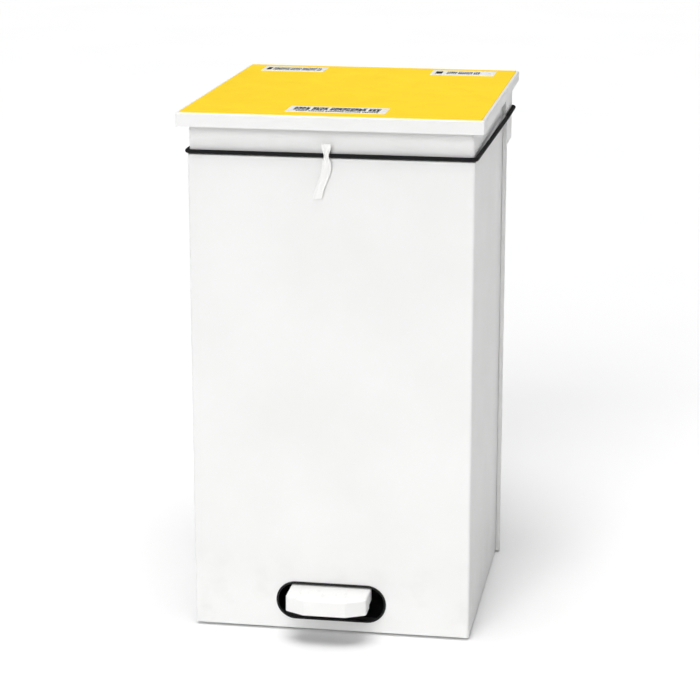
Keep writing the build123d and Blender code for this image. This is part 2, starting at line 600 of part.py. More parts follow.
def pedal_bush(side):
    """A flanged nylon bush pressed into the end of the pivot tube."""
    body = bar_x(BUSH_R, mirrored(side, TUBE_END - 16, TUBE_END), PIVOT_D, PIVOT_Z)
    body += bar_x(TUBE_R, mirrored(side, TUBE_END, TUBE_END + 2.6), PIVOT_D, PIVOT_Z)
    return body - bar_x(AXLE_R + FIT, mirrored(side, TUBE_END - 20, TUBE_END + 5), PIVOT_D, PIVOT_Z)


nodes["pedal_lever"] = pedal_lever()
nodes["pedal_cap"] = pedal_cap()
nodes["pedal_cap_screws"] = cap_screws()
for name, side in SIDES.items():
    nodes["pedal_bush_" + name] = pedal_bush(side)
nodes["lever_pin"] = bar_x(PIN_R, (-PIN_END, PIN_END), ROD_D, LEVER_PIN_Z)


# ---------- push rod: rod, slotted foot and head, guides and soft-close damper
ROD_R = 4.5
FORK_X = (4.0, 8.5)       # inner and outer face of a fork's cheeks
FOOT_TOP = LEVER_PIN_Z + 34
HEAD_BOTTOM = CRANK_PIN_Z - 32
PLAY = 0.2                # pin play in the slotted foot
HEAD_PLAY = 1.1           # pin play in the slotted head, for the crank's uneven lift
FORK_WEB = 12.0           # height of a fork's web
DAMPER_X, DAMPER_R = 18.0, 9.0
PISTON_R, DAMPER_ROD_R = 7.0, 3.0
DAMPER_Z = (300.0, 420.0)
CLAMP_Z = (345.0, 365.0)
ARM_Z = (474.0, 480.0)    # damper arm on the rod
PISTON_Z = (322.0, 332.0)
GUIDES = {"rod_guide_lower": 150.0, "rod_guide_upper": 560.0}


def fork(pin_d, pin_z, web_z, slot_length, play, reach):
    """Two cheeks with a slot for a cross pin, joined by a web that the rod screws into."""
    low, high = FORK_X
    end_z = pin_z - 10 if web_z > pin_z else pin_z + 9
    z = (min(end_z, web_z), max(end_z, web_z))
    shape = block((-high, high), (ROD_D - reach, ROD_D + reach), z)
    gap_z = (z[0] - 1, web_z - FORK_WEB) if web_z > pin_z else (web_z + FORK_WEB, z[1] + 1)
    shape -= block((-low, low), (ROD_D - reach - 1, ROD_D + reach + 1), gap_z)
    height = 2 * (PIN_R + play)
    shape -= slot_x(slot_length + height, height, (-high - 1, high + 1), pin_d, pin_z)
    rod_z = (web_z - 8, web_z + 1) if web_z > pin_z else (web_z - 1, web_z + 8)
    return shape - bar_z(ROD_R + PRESS, 0, ROD_D, rod_z)


def rod_foot():
    swing = LEVER_REACH * (1 - math.cos(math.radians(PEDAL_SWING / 2)))
    return fork(ROD_D + swing / 2, LEVER_PIN_Z, FOOT_TOP, swing + 1, PLAY, 12.0)


def rod_head():
    swing = CRANK_R * (1 - math.cos(CRANK_REST))
    middle = CRANK_PIN_D - swing / 2
    return fork(middle, CRANK_PIN_Z, HEAD_BOTTOM, swing + 1, HEAD_PLAY, 14.0)


def damper_cylinder():
    tube = bar_z(DAMPER_R, DAMPER_X, ROD_D, DAMPER_Z)
    tube -= bar_z(PISTON_R, DAMPER_X, ROD_D, (DAMPER_Z[0] + 4, DAMPER_Z[1] - 5))
    return tube - bar_z(DAMPER_ROD_R + FIT, DAMPER_X, ROD_D, (DAMPER_Z[1] - 10, DAMPER_Z[1] + 1))


def damper_bracket():
    """A clamp on the back panel that grips the cylinder, with a hollow for the push rod beside it."""
    through = (CLAMP_Z[0] - 5, CLAMP_Z[1] + 5)
    clamp = block((DAMPER_X - 12.5, DAMPER_X + 11.5), (PANEL_D[1], ROD_D + 4), CLAMP_Z)
    clamp -= bar_z(DAMPER_R + PRESS, DAMPER_X, ROD_D, through)
    return clamp - bar_z(ROD_R + 2, 0, ROD_D, through)


def rod_guide(z):
    half, height = 12.0, 14.0
    guide = block((-half, half), (PANEL_D[1], ROD_D + 9), (z, z + height))
    guide = fillet(guide.edges().filter_by(Axis.Z).group_by(Axis.Y)[-1], 4)
    return guide - bar_z(ROD_R + FIT, 0, ROD_D, (z - 1, z + height + 1))


def damper_arm():
    """The plate on the push rod that carries the damper's piston rod."""
    arm = block((-8, DAMPER_X + 7), (ROD_D - 8, ROD_D + 8), ARM_Z)
    arm = fillet(arm.edges().filter_by(Axis.Z), 5)
    arm -= bar_z(ROD_R + PRESS, 0, ROD_D, (ARM_Z[0] - 1, ARM_Z[1] + 1))
    return arm - bar_z(DAMPER_ROD_R + PRESS, DAMPER_X, ROD_D, (ARM_Z[0] - 1, ARM_Z[1] + 1))


nodes["push_rod"] = bar_z(ROD_R, 0, ROD_D, (FOOT_TOP - 8, HEAD_BOTTOM + 8))
nodes["rod_foot"] = rod_foot()
nodes["rod_head"] = rod_head()
for name, z in GUIDES.items():
    nodes[name] = rod_guide(z)
nodes["damper_cylinder"] = damper_cylinder()
nodes["damper_bracket"] = damper_bracket()
nodes["damper_arm"] = damper_arm()
piston = bar_z(DAMPER_ROD_R, DAMPER_X, ROD_D, (PISTON_Z[0] - 2, ARM_Z[1]))
nodes["damper_piston"] = piston + bar_z(PISTON_R - FIT, DAMPER_X, ROD_D, PISTON_Z)


# ---------- fasteners of the column
def screw_group(places, face, grip):
    return Compound([screw_y(x, z, face, grip) for x, z in places])


def collar_rivets():
    """Rivets whose heads sit on the collar's rear wall, inside the ring."""
    inner = PANEL_D[0] - COLLAR_SHEET
    group = []
    for x, z in COLLAR_RIVETS:
        head = fillet(bar_y(4, x, (inner - 1.2, inner), z).edges().group_by(Axis.Y)[0], 0.8)
        group.append(head + bar_y(2.0, x, (inner, PANEL_D[1] + 0.8), z))
    return Compound(group)


nodes["column_screws"] = screw_group(COLUMN_SCREWS, PANEL_D[1], 8)
nodes["rod_cover_screws"] = screw_group(COVER_SCREWS, PANEL_D[1] + SHEET, 5)
nodes["collar_rivets"] = collar_rivets()


# ---------- export
os.makedirs("parts", exist_ok=True)
for name, shape in nodes.items():
    export_step(shape, f"parts/{name}.step")
print("nodes", len(nodes), "band length", round(band_length, 1))
print("band volume over section times length", band.volume / (math.pi * BAND_R**2 * band_length))
print("lift", round(LIFT, 2), "crank radius", round(CRANK_R, 2), "crank pin", CRANK_PIN_D, CRANK_PIN_Z)
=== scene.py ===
import json
import math
import random

import bmesh
import bpy
from mathutils import Matrix, Vector

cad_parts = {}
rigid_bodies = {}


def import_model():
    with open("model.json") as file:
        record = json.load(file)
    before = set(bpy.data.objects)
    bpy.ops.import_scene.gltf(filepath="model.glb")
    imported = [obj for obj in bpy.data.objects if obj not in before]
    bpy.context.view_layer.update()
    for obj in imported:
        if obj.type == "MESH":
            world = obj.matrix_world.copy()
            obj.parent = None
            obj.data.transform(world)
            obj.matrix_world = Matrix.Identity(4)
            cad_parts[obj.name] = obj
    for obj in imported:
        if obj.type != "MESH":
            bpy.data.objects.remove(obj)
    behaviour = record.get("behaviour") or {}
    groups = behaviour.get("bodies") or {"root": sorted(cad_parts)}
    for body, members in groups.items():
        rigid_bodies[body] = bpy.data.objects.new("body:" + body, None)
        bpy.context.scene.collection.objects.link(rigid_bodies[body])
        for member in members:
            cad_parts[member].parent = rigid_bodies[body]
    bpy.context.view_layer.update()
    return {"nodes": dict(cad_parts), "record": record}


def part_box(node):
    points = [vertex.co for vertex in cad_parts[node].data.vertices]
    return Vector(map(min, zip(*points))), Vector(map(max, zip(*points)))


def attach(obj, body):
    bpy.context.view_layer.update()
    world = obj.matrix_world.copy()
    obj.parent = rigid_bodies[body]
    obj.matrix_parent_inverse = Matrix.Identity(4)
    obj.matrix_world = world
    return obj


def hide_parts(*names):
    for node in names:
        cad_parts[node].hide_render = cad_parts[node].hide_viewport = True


# A hands-free pedal bin in a plain studio. Metres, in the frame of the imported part: +Z up, -Y the front.

for leftover in list(bpy.data.objects):
    bpy.data.objects.remove(leftover)
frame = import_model()
MM = 0.001

collar_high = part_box("sack_collar")[1]
casing_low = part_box("hinge_casing")[0]
cap_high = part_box("pedal_cap")[1]
band_low, band_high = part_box("elastic_band")
tab_low, tab_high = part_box("pull_tab")
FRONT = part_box("body_shell")[0].y
BAND_RADIUS = (band_high.z - band_low.z) / 2
BAND_Z = (band_low.z + band_high.z) / 2
BAND_Y = band_low.y + BAND_RADIUS       # of the cord's middle, in front


# ---------- material helpers
def new_material(name, colour, roughness, metallic=0.0):
    """A material with its shader set, and its node tree."""
    made = bpy.data.materials.new(name)
    made.use_nodes = True
    shader = made.node_tree.nodes["Principled BSDF"]
    shader.inputs["Base Color"].default_value = (*colour, 1)
    shader.inputs["Roughness"].default_value = roughness
    shader.inputs["Metallic"].default_value = metallic
    made.diffuse_color = (*colour, 1)
    return made, made.node_tree, shader


def add(tree, kind, **inputs):
    """A node whose inputs are set to numbers or linked to sockets."""
    made = tree.nodes.new(kind)
    for name, value in inputs.items():
        socket = made.inputs[name.replace("_", " ")]
        if isinstance(value, bpy.types.NodeSocket):
            tree.links.new(value, socket)
        else:
            socket.default_value = value
    return made


def place(tree, scale=(1, 1, 1), source="Object"):
    """Texture coordinates, stretched by scale."""
    coordinates = tree.nodes.new("ShaderNodeTexCoord")
    return add(tree, "ShaderNodeMapping", Vector=coordinates.outputs[source], Scale=scale).outputs["Vector"]


def fit(tree, value, low, high, to_low=0.0, to_high=1.0):
    """The value stretched from one range to another and held inside it."""
    made = add(tree, "ShaderNodeMapRange", Value=value)
    for name, number in (("From Min", low), ("From Max", high), ("To Min", to_low), ("To Max", to_high)):
        made.inputs[name].default_value = number
    return made.outputs["Result"]


def maths(tree, operation, a, b=0.0):
    """One sum on two values, each a number or a socket."""
    made = tree.nodes.new("ShaderNodeMath")
    made.operation = operation
    for socket, value in zip(made.inputs, (a, b)):
        if isinstance(value, bpy.types.NodeSocket):
            tree.links.new(value, socket)
        else:
            socket.default_value = value
    return made.outputs[0]


def blend_colours(tree, factor, a, b):
    """Colour a where the factor is 0, b where it is 1; each is a triple or a socket."""
    made = tree.nodes.new("ShaderNodeMix")
    made.data_type = "RGBA"
    tree.links.new(factor, made.inputs["Factor"])
    for socket, value in ((made.inputs[6], a), (made.inputs[7], b)):
        if isinstance(value, bpy.types.NodeSocket):
            tree.links.new(value, socket)
        else:
            socket.default_value = (*value, 1)
    return made.outputs[2]


def paint(tree, shader, factor, a, b):
    """Base colour a where the factor is 0, b where it is 1."""
    tree.links.new(blend_colours(tree, factor, a, b), shader.inputs["Base Color"])


def gloss(tree, shader, value, low, high, to_low, to_high):
    """Roughness from to_low to to_high as the value goes from low to high."""
    tree.links.new(fit(tree, value, low, high, to_low, to_high), shader.inputs["Roughness"])


def bumps(tree, shader, layers):
    """Stacks bump layers, each a (height, strength, distance), on the shader's normal."""
    normal = None
    for height, strength, distance in layers:
        made = add(tree, "ShaderNodeBump", Height=height, Strength=strength, Distance=distance)
        if normal:
            tree.links.new(normal, made.inputs["Normal"])
        normal = made.outputs["Normal"]
    tree.links.new(normal, shader.inputs["Normal"])


def grain(tree, vector, size, detail=2.0):
    """Noise whose lumps are about size metres across."""
    made = add(tree, "ShaderNodeTexNoise", Vector=vector, Scale=1 / size, Detail=detail, Roughness=0.5)
    return made.outputs["Fac"]


# ---------- materials
def powder_coat():
    """White powder coat: orange peel, a slightly uneven sheet under it, and faint darker patches towards the
    floor.
    """
    made, tree, shader = new_material("powder_coat_white", (0.8, 0.8, 0.795), 0.4)
    at = place(tree)
    clouds = grain(tree, at, 0.16, 4)
    white = blend_colours(tree, fit(tree, clouds, 0.35, 0.65), (0.815, 0.815, 0.81), (0.785, 0.785, 0.778))
    height = add(tree, "ShaderNodeSeparateXYZ", Vector=at).outputs["Z"]
    # darker towards the floor in patches, over the lowest 14 cm
    low = fit(tree, height, 0.14, 0.0)
    low_patches = fit(tree, grain(tree, at, 0.045, 6), 0.52, 0.72)
    low_darkening = maths(tree, "MULTIPLY", maths(tree, "MULTIPLY", low, low_patches), 0.3)
    paint(tree, shader, low_darkening, white, (0.55, 0.54, 0.51))
    gloss(tree, shader, grain(tree, at, 0.05, 5), 0.3, 0.7, 0.33, 0.46)
    peel = grain(tree, at, 1.6 * MM, 1)
    sheet = grain(tree, at, 0.11, 1)
    bumps(tree, shader, [(sheet, 0.5, 0.9 * MM), (peel, 0.22, 0.05 * MM)])
    return made


def black_paint():
    """Black powder coat of the base frame, a dark sheet painted in for the shade seen inside the pedal slot,
    with grey dust lying on it.
    """
    made, tree, shader = new_material("powder_coat_black_slot_shade", (0.012, 0.012, 0.012), 0.5)
    at = place(tree)
    dust = maths(tree, "MULTIPLY", fit(tree, grain(tree, at, 0.02, 6), 0.45, 0.8), 0.3)
    paint(tree, shader, dust, (0.01, 0.01, 0.01), (0.09, 0.087, 0.08))
    gloss(tree, shader, grain(tree, at, 0.03, 5), 0.3, 0.7, 0.42, 0.62)
    bumps(tree, shader, [(grain(tree, at, 1.4 * MM, 1), 0.25, 0.05 * MM)])
    return made


def yellow_panel():
    """Yellow sheet with a fine leather grain and small changes of gloss where hands wipe it."""
    made, tree, shader = new_material("panel_yellow", (1.0, 0.69, 0.02), 0.5)
    at = place(tree)
    clouds = fit(tree, grain(tree, at, 0.12, 5), 0.35, 0.65)
    paint(tree, shader, clouds, (1.0, 0.7, 0.02), (0.985, 0.675, 0.018))
    gloss(tree, shader, grain(tree, at, 0.03, 6), 0.3, 0.7, 0.44, 0.58)
    cells = add(tree, "ShaderNodeTexVoronoi", Vector=at, Scale=900.0).outputs["Distance"]
    bumps(tree, shader, [(grain(tree, at, 0.12, 1), 0.3, 0.4 * MM), (cells, 0.15, 0.05 * MM)])
    return made


def label_film():
    """Glossy white film, a little uneven where it is stuck down."""
    made, tree, shader = new_material("label_film_white", (0.95, 0.95, 0.94), 0.34)
    at = place(tree)
    clouds = fit(tree, grain(tree, at, 0.02, 4), 0.35, 0.7)
    paint(tree, shader, clouds, (0.96, 0.96, 0.95), (0.92, 0.92, 0.9))
    gloss(tree, shader, grain(tree, at, 8 * MM, 4), 0.3, 0.7, 0.24, 0.38)
    bumps(tree, shader, [(grain(tree, at, 9 * MM, 2), 0.2, 0.05 * MM)])
    return made


def label_ink():
    """Dark print, a little worn."""
    made, tree, shader = new_material("label_ink", (0.012, 0.016, 0.02), 0.5)
    at = place(tree)
    worn = fit(tree, grain(tree, at, 0.6 * MM, 5), 0.45, 0.75)
    paint(tree, shader, worn, (0.01, 0.014, 0.018), (0.05, 0.055, 0.06))
    gloss(tree, shader, worn, 0, 1, 0.45, 0.65)
    return made


def black_rubber():
    """Moulded rubber with a fine matt grain and a little pale dust."""
    made, tree, shader = new_material("rubber_black", (0.005, 0.005, 0.005), 0.6)
    at = place(tree)
    shader.inputs["Specular IOR Level"].default_value = 0.3
    dust = maths(tree, "MULTIPLY", fit(tree, grain(tree, at, 7 * MM, 6), 0.5, 0.8), 0.2)
    paint(tree, shader, dust, (0.004, 0.004, 0.004), (0.05, 0.049, 0.047))
    gloss(tree, shader, grain(tree, at, 3 * MM, 4), 0.3, 0.7, 0.5, 0.7)
    bumps(tree, shader, [(grain(tree, at, 0.5 * MM), 0.3, 0.04 * MM)])
    return made


BRAID_AROUND = 8          # strands round the cord


def elastic_cord():
    """Braided cover of an elastic cord: two families of strands cross, each over and under the other."""
    made, tree, shader = new_material("cord_braided_black", (0.006, 0.006, 0.006), 0.8)
    shader.inputs["Sheen Weight"].default_value = 0.04
    shader.inputs["Specular IOR Level"].default_value = 0.25
    shader.inputs["Sheen Roughness"].default_value = 0.4
    uv = tree.nodes.new("ShaderNodeUVMap")
    uv.uv_map = "along"
    parts = add(tree, "ShaderNodeSeparateXYZ", Vector=uv.outputs["UV"])
    along = parts.outputs["X"]
    around = maths(tree, "MULTIPLY", parts.outputs["Y"], BRAID_AROUND)
    left = maths(tree, "ADD", along, around)
    right = maths(tree, "SUBTRACT", along, around)
    cell = maths(tree, "ADD", maths(tree, "FLOOR", left), maths(tree, "FLOOR", right))
    over = maths(tree, "ABSOLUTE", maths(tree, "MODULO", cell, 2.0))
    ridges = []
    for strand in (left, right):
        wave = maths(tree, "SINE", maths(tree, "MULTIPLY", strand, math.pi))
        ridges.append(maths(tree, "ABSOLUTE", wave))
    first = maths(tree, "MULTIPLY", ridges[0], over)
    second = maths(tree, "MULTIPLY", ridges[1], maths(tree, "SUBTRACT", 1.0, over))
    weave = maths(tree, "ADD", first, second)
    fibres = grain(tree, place(tree), 0.25 * MM)
    shade = maths(tree, "MULTIPLY", weave, fibres)
    # painted shade: the colour darkens towards the grooves between strands and lightens on their crowns,
    # over a random fibre tone
    paint(tree, shader, fit(tree, shade, 0.1, 0.7), (0.002, 0.002, 0.002), (0.011, 0.011, 0.012))
    gloss(tree, shader, fibres, 0.3, 0.7, 0.7, 0.92)
    bumps(tree, shader, [(weave, 0.8, 0.35 * MM), (fibres, 0.3, 0.08 * MM)])
    return made


RIBS_ALONG, THREADS_ACROSS = 90, 14     # waves of the tape's weave


def strap_webbing():
    """Thin white nylon tape: a fine rib across, and light that comes through it."""
    made, tree, shader = new_material("strap_white", (0.86, 0.86, 0.85), 0.5)
    shader.inputs["Subsurface Weight"].default_value = 0.25
    shader.inputs["Subsurface Radius"].default_value = (0.004, 0.004, 0.004)
    shader.inputs["Sheen Weight"].default_value = 0.15
    uv = tree.nodes.new("ShaderNodeUVMap")
    uv.uv_map = "along"
    parts = add(tree, "ShaderNodeSeparateXYZ", Vector=uv.outputs["UV"])
    rib = maths(tree, "SINE", maths(tree, "MULTIPLY", parts.outputs["X"], 2 * math.pi * RIBS_ALONG))
    warp = maths(tree, "SINE", maths(tree, "MULTIPLY", parts.outputs["Y"], 2 * math.pi * THREADS_ACROSS))
    cloth = maths(tree, "MULTIPLY", rib, warp)
    threads = grain(tree, place(tree), 0.5 * MM)
    paint(tree, shader, fit(tree, threads, 0.3, 0.75), (0.9, 0.9, 0.89), (0.8, 0.8, 0.785))
    gloss(tree, shader, threads, 0.3, 0.7, 0.42, 0.6)
    bumps(tree, shader, [(cloth, 0.35, 0.08 * MM), (threads, 0.2, 0.05 * MM)])
    return made


def pedal_plastic():
    """Moulded white nylon with spark-eroded grain and grey scuffs from shoes on the tread."""
    made, tree, shader = new_material("pedal_white", (0.8, 0.8, 0.79), 0.46)
    at = place(tree)
    scuffs = fit(tree, grain(tree, place(tree, (1, 0.3, 1)), 6 * MM, 6), 0.58, 0.74)
    height = add(tree, "ShaderNodeSeparateXYZ", Vector=at).outputs["Z"]
    tread = fit(tree, height, cap_high.z - 3 * MM, cap_high.z)
    worn = maths(tree, "MULTIPLY", maths(tree, "MULTIPLY", scuffs, tread), 0.22)
    paint(tree, shader, worn, (0.81, 0.81, 0.8), (0.46, 0.45, 0.44))
    gloss(tree, shader, grain(tree, at, 5 * MM, 5), 0.3, 0.7, 0.36, 0.54)
    bumps(tree, shader, [(grain(tree, at, 0.5 * MM, 2), 0.25, 0.06 * MM)])
    return made


def zinc_steel():
    """Zinc-plated steel: faint crystals, drawn lines and dull spots."""
    made, tree, shader = new_material("steel_zinc", (0.6, 0.61, 0.63), 0.36, 1.0)
    at = place(tree)
    crystals = add(tree, "ShaderNodeTexVoronoi", Vector=at, Scale=260.0).outputs["Color"]
    shade = add(tree, "ShaderNodeSeparateXYZ", Vector=crystals).outputs["X"]
    dull = fit(tree, grain(tree, at, 9 * MM, 5), 0.4, 0.7)
    metal = blend_colours(tree, maths(tree, "MULTIPLY", shade, 0.35), (0.64, 0.65, 0.67), (0.5, 0.51, 0.54))
    paint(tree, shader, dull, metal, (0.53, 0.53, 0.54))
    gloss(tree, shader, dull, 0, 1, 0.28, 0.46)
    lines = grain(tree, place(tree, (1, 1, 0.04)), 0.35 * MM)
    bumps(tree, shader, [(lines, 0.12, 0.03 * MM)])
    return made


def damper_body():
    """Glossy black paint of the damper's cylinder."""
    made, tree, shader = new_material("damper_black_paint", (0.03, 0.03, 0.033), 0.32)
    at = place(tree)
    clouds = fit(tree, grain(tree, at, 0.012, 5), 0.35, 0.7)
    paint(tree, shader, clouds, (0.025, 0.025, 0.028), (0.05, 0.05, 0.053))
    gloss(tree, shader, clouds, 0, 1, 0.26, 0.42)
    bumps(tree, shader, [(grain(tree, at, 0.9 * MM, 1), 0.15, 0.03 * MM)])
    return made


def damper_rod():
    """Chrome with fine lines along the rod."""
    made, tree, shader = new_material("damper_chrome", (0.78, 0.79, 0.8), 0.12, 1.0)
    lines = grain(tree, place(tree, (1, 1, 0.03)), 0.3 * MM)
    gloss(tree, shader, lines, 0.3, 0.7, 0.08, 0.2)
    bumps(tree, shader, [(lines, 0.06, 0.02 * MM)])
    return made


def nylon():
    """Unpainted nylon of the bearings, faintly clouded."""
    made, tree, shader = new_material("nylon_natural", (0.78, 0.76, 0.69), 0.45)
    shader.inputs["Subsurface Weight"].default_value = 0.15
    shader.inputs["Subsurface Radius"].default_value = (0.002, 0.002, 0.002)
    at = place(tree)
    clouds = fit(tree, grain(tree, at, 0.01, 4), 0.3, 0.7)
    paint(tree, shader, clouds, (0.8, 0.78, 0.71), (0.72, 0.7, 0.62))
    gloss(tree, shader, clouds, 0, 1, 0.38, 0.52)
    bumps(tree, shader, [(grain(tree, at, 0.4 * MM), 0.2, 0.04 * MM)])
    return made


def magnet():
    """Dark, grainy ferrite."""
    made, tree, shader = new_material("magnet_ferrite", (0.05, 0.05, 0.052), 0.7)
    at = place(tree)
    specks = fit(tree, grain(tree, at, 0.7 * MM, 5), 0.4, 0.75)
    paint(tree, shader, specks, (0.04, 0.04, 0.042), (0.12, 0.12, 0.12))
    gloss(tree, shader, specks, 0, 1, 0.6, 0.8)
    bumps(tree, shader, [(specks, 0.4, 0.08 * MM)])
    return made


def studio_floor():
    """Plain pale paper."""
    made, tree, shader = new_material("studio_paper", (0.9, 0.9, 0.9), 0.85)
    at = place(tree)
    clouds = fit(tree, grain(tree, at, 0.5, 3), 0.3, 0.7)
    paint(tree, shader, clouds, (0.9, 0.9, 0.9), (0.885, 0.885, 0.885))
    bumps(tree, shader, [(grain(tree, at, 2 * MM), 0.05, 0.05 * MM)])
    return made


FINISHES = {
    "white_powder_coat": powder_coat(),
    # painted shade: the black base frame darkens what is seen through the pedal slot
    "black_powder_coat": black_paint(),
    "yellow_panel": yellow_panel(),
    "label_film": label_film(),
    "black_rubber": black_rubber(),
    "elastic_cord": elastic_cord(),
    "strap": strap_webbing(),
    "pedal_plastic": pedal_plastic(),
    "zinc_steel": zinc_steel(),
    "damper_body": damper_body(),
    "damper_rod": damper_rod(),
    "nylon": nylon(),
    "magnet": magnet(),
}
INK = label_ink()

for subpart in frame["record"]["subparts"]:
    for material_slot in frame["nodes"][subpart["node"]].material_slots:
        material_slot.material = FINISHES[subpart["material_slot"]]


# ---------- mesh helpers
def finish_piece(mesh, name, body, slot, replaced=()):
    """An object of the mesh that rides on a body, takes a slot's finish and stands for CAD nodes."""
    piece = bpy.data.objects.new(name, mesh)
    bpy.context.scene.collection.objects.link(piece)
    if not mesh.materials:
        mesh.materials.append(FINISHES[slot])
    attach(piece, body)
    if replaced:
        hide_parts(*replaced)
    return piece


def mesh_data(name, mesh):
    """The finished mesh of a bmesh."""
    made = bpy.data.meshes.new(name)
    mesh.to_mesh(made)
    mesh.free()
    return made


def thicken(piece, thickness):
    """Gives a tape its thickness and rounds it."""
    skin = piece.modifiers.new("thickness", "SOLIDIFY")
    skin.thickness = thickness
    skin.offset = 0
    soft = piece.modifiers.new("soft", "SUBSURF")
    soft.levels = soft.render_levels = 1


def strip_mesh(name, rows, closed_along=False, closed_across=False, wraps=1.0):
    """A smooth skin over rows of points, with a map of how far along and across each point is."""
    mesh = bmesh.new()
    grid = [[mesh.verts.new(point) for point in row] for row in rows]
    layer = mesh.loops.layers.uv.new("along")
    count, wide = len(rows), len(rows[0])
    for i in range(count if closed_along else count - 1):
        for j in range(wide if closed_across else wide - 1):
            i2, j2 = (i + 1) % count, (j + 1) % wide
            face = mesh.faces.new((grid[i][j], grid[i2][j], grid[i2][j2], grid[i][j2]))
            face.smooth = True
            across = wide if closed_across else wide - 1
            steps = count if closed_along else count - 1
            corners = ((i, j), (i + 1, j), (i + 1, j + 1), (i, j + 1))
            for loop, (a, b) in zip(face.loops, corners):
                loop[layer].uv = (a / steps * wraps, b / across)
    return mesh_data(name, mesh)


def rounded_loop(corners, radii, step):
    """Points along a closed route of straight runs whose corners are rounded, about step apart."""
    points = []
    count = len(corners)
    for k in range(count):
        here = corners[k]
        before = (corners[k - 1] - here).normalized()
        after = (corners[(k + 1) % count] - here).normalized()
        half_angle = before.angle(after) / 2
        radius = radii[k]
        reach = radius / math.tan(half_angle)
        start, end = here + before * reach, here + after * reach
        centre = here + (before + after).normalized() * (radius / math.sin(half_angle))
        turn = math.pi - 2 * half_angle
        arcs = max(4, round(radius * turn / step))
        if points:
            points += straight(points[-1], start, step)
        side = 1 if (start - centre).cross(end - centre).z > 0 else -1
        for i in range(arcs + 1):
            swing = Matrix.Rotation(side * turn * i / arcs, 3, "Z")
            points.append(centre + swing @ (start - centre))
    return points + straight(points[-1], points[0], step)


def straight(start, end, step):
    """Points strictly between start and end."""
    count = max(1, round((end - start).length / step))
    return [start.lerp(end, i / count) for i in range(1, count)]


# ---------- elastic band
CORD_STEP, CORD_SIDES = 2.5 * MM, 20
CORD_CORNER, CORD_BEND = 8 * MM, 400 * MM       # radii of its corners and of its spread before the casing
STRAND_SLANT = 1.25                     # length of one crossing over its width


def band_cord():
    """The cord round collar and casing: narrow in front, wider from just before the casing on."""
    radius = BAND_RADIUS
    front_x = collar_high.x + radius + 0.05 * MM
    rear_x = band_high.x - radius
    rear_y = band_high.y - radius
    bend_y = casing_low.y - 4 * MM
    right_side = [(front_x, BAND_Y), (rear_x, bend_y), (rear_x, rear_y)]
    left_side = [(-x, y) for x, y in reversed(right_side)]
    corners = [Vector((x, y, BAND_Z)) for x, y in right_side + left_side]
    radii = [CORD_CORNER, CORD_BEND, CORD_CORNER, CORD_CORNER, CORD_BEND, CORD_CORNER]
    route = rounded_loop(corners, radii, CORD_STEP)
    rows = []
    up = Vector((0, 0, 1))
    for i, point in enumerate(route):
        ahead = (route[(i + 1) % len(route)] - route[i - 1]).normalized()
        outward = ahead.cross(up)
        ring = []
        for k in range(CORD_SIDES):
            angle = 2 * math.pi * k / CORD_SIDES
            ring.append(point + (outward * math.cos(angle) + up * math.sin(angle)) * radius)
        rows.append(ring)
    length = sum((route[i] - route[i - 1]).length for i in range(len(route)))
    cell = 2 * math.pi * radius / BRAID_AROUND
    strands = 2 * round(length / (cell * STRAND_SLANT) / 2)
    mesh = strip_mesh("band_cord", rows, closed_along=True, closed_across=True, wraps=strands)
    return finish_piece(mesh, "elastic_band_braided", "frame", "elastic_cord", ["elastic_band"])


band_cord()


# ---------- pull strap: a tape gathered round the band, its short end up and its long end hanging
def smooth_step(low, high, value):
    """0 below low, 1 above high and an easy curve between."""
    share = min(1.0, max(0.0, (value - low) / (high - low)))
    return share * share * (3 - 2 * share)


STRAP_X = tab_high.x - 6.5 * MM
STRAP_WIDTH, STRAP_PINCHED, STRAP_LOOP_WIDTH = 13.5 * MM, 6.5 * MM, 6.6 * MM
STRAP_ABOVE = 17 * MM                   # length of its end over the band
STRAP_FACE, STRAP_TAIL_GAP = 0.6 * MM, 2.2 * MM     # off the band, and the tail off the shell
STRAP_DRIFT, STRAP_TWIST = 13 * MM, math.radians(14)
STRAP_GATHER = 7 * MM                   # how far from the band its pinch reaches
TAIL_THICKNESS, LOOP_THICKNESS = 0.7 * MM, 0.6 * MM


def pull_strap():
    """The tape in front of the band: its end above, the pinch, and the tail that hangs to the left."""
    face_y = BAND_Y - BAND_RADIUS - STRAP_FACE
    room = FRONT - face_y
    top, bottom = BAND_Z + STRAP_ABOVE, tab_low.z + 1 * MM
    count, wide = 90, 16
    rows = []
    for i in range(count + 1):
        share = i / count
        z = top + (bottom - top) * share
        below = max(0.0, BAND_Z - z)
        gather = math.exp(-((z - BAND_Z) / STRAP_GATHER) ** 2)
        width = STRAP_WIDTH + (STRAP_PINCHED - STRAP_WIDTH) * gather
        fold = (0.35 + 1.5 * gather) * MM
        drift = -STRAP_DRIFT * smooth_step(14 * MM, 62 * MM, below)
        twist = STRAP_TWIST * smooth_step(6 * MM, 55 * MM, below)
        lean = -1.6 * MM * smooth_step(3 * MM, 17 * MM, z - BAND_Z)
        hang = (room - STRAP_TAIL_GAP) * smooth_step(3 * MM, 34 * MM, below)
        row = []
        for j in range(wide + 1):
            across = j / wide - 0.5
            ripple = -fold * (0.5 + 0.5 * math.cos(across * 4 * math.pi))
            x = STRAP_X + drift + across * width * math.cos(twist)
            y = face_y + ripple + lean + hang - abs(across * width * math.sin(twist)) * 0.3
            row.append(Vector((x, y, z + across * width * 0.35 * math.sin(twist))))
        rows.append(row)
    mesh = strip_mesh("pull_strap", rows)
    thicken(finish_piece(mesh, "pull_strap", "frame", "strap", ["pull_tab"]), TAIL_THICKNESS)


